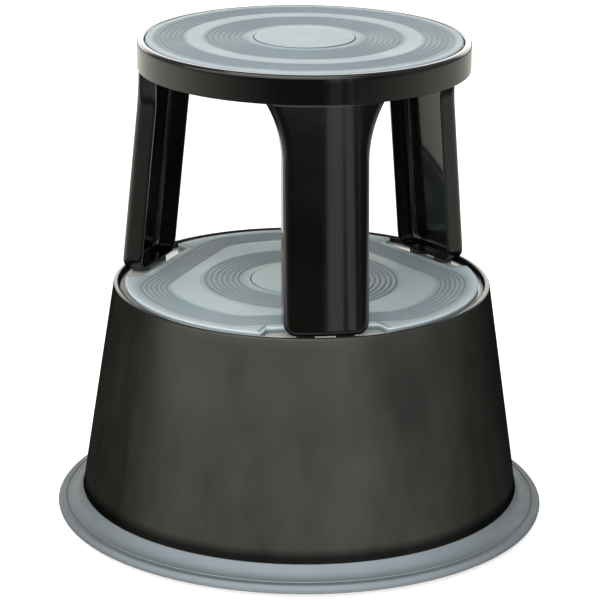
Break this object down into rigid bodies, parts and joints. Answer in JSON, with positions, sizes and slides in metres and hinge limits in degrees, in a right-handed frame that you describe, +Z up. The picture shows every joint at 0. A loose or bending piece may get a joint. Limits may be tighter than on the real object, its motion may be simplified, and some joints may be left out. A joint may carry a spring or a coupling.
{
  "type": "step stool",
  "caption": "Round kick step stool: drum-shaped steel base with a rubber ring and sprung castors, pressed legs and a round top step, both steps covered with ribbed mats.",
  "frame": {"origin": "on the stool's upright axis, at floor level under the three castor wheels, with nobody on the stool", "axes": "+Z up along the stool's axis; -Y through the middle of the front leg; castor 1 lies towards +Y, and castors 2 and 3 a third of a turn each side of it"},
  "size_m": [0.4379, 0.438, 0.4333],
  "materials": {
    "gloss_paint": "gloss black baked enamel",
    "base_paint": "satin gloss black baked enamel",
    "mat_rubber": "matte light blue-grey moulded rubber with ribs",
    "ring_rubber": "matte blue-grey moulded rubber",
    "zinc_steel": "bright zinc plate",
    "spring_steel": "oiled spring steel wire",
    "nylon": "natural nylon",
    "castor_rubber": "matte dark grey rubber"
  },
  "bodies": {
    "base": {"base_shell": "base_paint", "lower_mat": "mat_rubber", "base_ring": "ring_rubber", "castor_bracket_1": "base_paint", "castor_bracket_2": "base_paint", "castor_bracket_3": "base_paint", "guide_bush_1": "nylon", "guide_bush_2": "nylon", "guide_bush_3": "nylon", "leg_front": "gloss_paint", "leg_right": "gloss_paint", "leg_left": "gloss_paint", "leg_foot_spacers": "castor_rubber", "leg_foot_studs": "zinc_steel", "leg_foot_nuts": "zinc_steel", "leg_head_studs": "zinc_steel", "leg_head_nuts": "zinc_steel", "top_pan": "gloss_paint", "top_mat": "mat_rubber", "castor_1_spring": "spring_steel", "castor_2_spring": "spring_steel", "castor_3_spring": "spring_steel"},
    "castor_1_slider": {"castor_1_stem": "zinc_steel", "castor_1_clip": "zinc_steel", "castor_1_washer": "zinc_steel", "castor_1_race": "zinc_steel"},
    "castor_1_fork": {"castor_1_fork": "zinc_steel", "castor_1_balls": "zinc_steel", "castor_1_axle": "zinc_steel", "castor_1_nut": "zinc_steel"},
    "castor_1_wheel": {"castor_1_hub": "nylon", "castor_1_tyre": "castor_rubber"},
    "castor_2_slider": {"castor_2_stem": "zinc_steel", "castor_2_clip": "zinc_steel", "castor_2_washer": "zinc_steel", "castor_2_race": "zinc_steel"},
    "castor_2_fork": {"castor_2_fork": "zinc_steel", "castor_2_balls": "zinc_steel", "castor_2_axle": "zinc_steel", "castor_2_nut": "zinc_steel"},
    "castor_2_wheel": {"castor_2_hub": "nylon", "castor_2_tyre": "castor_rubber"},
    "castor_3_slider": {"castor_3_stem": "zinc_steel", "castor_3_clip": "zinc_steel", "castor_3_washer": "zinc_steel", "castor_3_race": "zinc_steel"},
    "castor_3_fork": {"castor_3_fork": "zinc_steel", "castor_3_balls": "zinc_steel", "castor_3_axle": "zinc_steel", "castor_3_nut": "zinc_steel"},
    "castor_3_wheel": {"castor_3_hub": "nylon", "castor_3_tyre": "castor_rubber"}
  },
  "joints": [
    {"name": "castor_1_retract", "type": "slide", "parent": "base", "child": "castor_1_slider", "axis": [0, 0, 1], "range_m": [0, 0.008], "stiffness_N_per_m": 3000, "springref_m": -0.02, "deforming": ["castor_1_spring"]},
    {"name": "castor_1_swivel", "type": "hinge", "parent": "castor_1_slider", "child": "castor_1_fork", "pos_m": [0, 0.137, 0.0465], "axis": [0, 0, 1], "continuous": true},
    {"name": "castor_1_roll", "type": "hinge", "parent": "castor_1_fork", "child": "castor_1_wheel", "pos_m": [0, 0.155, 0.02], "axis": [-1, 0, 0], "continuous": true},
    {"name": "castor_2_retract", "type": "slide", "parent": "base", "child": "castor_2_slider", "axis": [0, 0, 1], "range_m": [0, 0.008], "stiffness_N_per_m": 3000, "springref_m": -0.02, "deforming": ["castor_2_spring"]},
    {"name": "castor_2_swivel", "type": "hinge", "parent": "castor_2_slider", "child": "castor_2_fork", "pos_m": [0.11865, -0.0685, 0.0465], "axis": [0, 0, 1], "continuous": true},
    {"name": "castor_2_roll", "type": "hinge", "parent": "castor_2_fork", "child": "castor_2_wheel", "pos_m": [0.13423, -0.0775, 0.02], "axis": [0.5, 0.866, 0], "continuous": true},
    {"name": "castor_3_retract", "type": "slide", "parent": "base", "child": "castor_3_slider", "axis": [0, 0, 1], "range_m": [0, 0.008], "stiffness_N_per_m": 3000, "springref_m": -0.02, "deforming": ["castor_3_spring"]},
    {"name": "castor_3_swivel", "type": "hinge", "parent": "castor_3_slider", "child": "castor_3_fork", "pos_m": [-0.11865, -0.0685, 0.0465], "axis": [0, 0, 1], "continuous": true},
    {"name": "castor_3_roll", "type": "hinge", "parent": "castor_3_fork", "child": "castor_3_wheel", "pos_m": [-0.13423, -0.0775, 0.02], "axis": [0.5, -0.866, 0], "continuous": true}
  ]
}
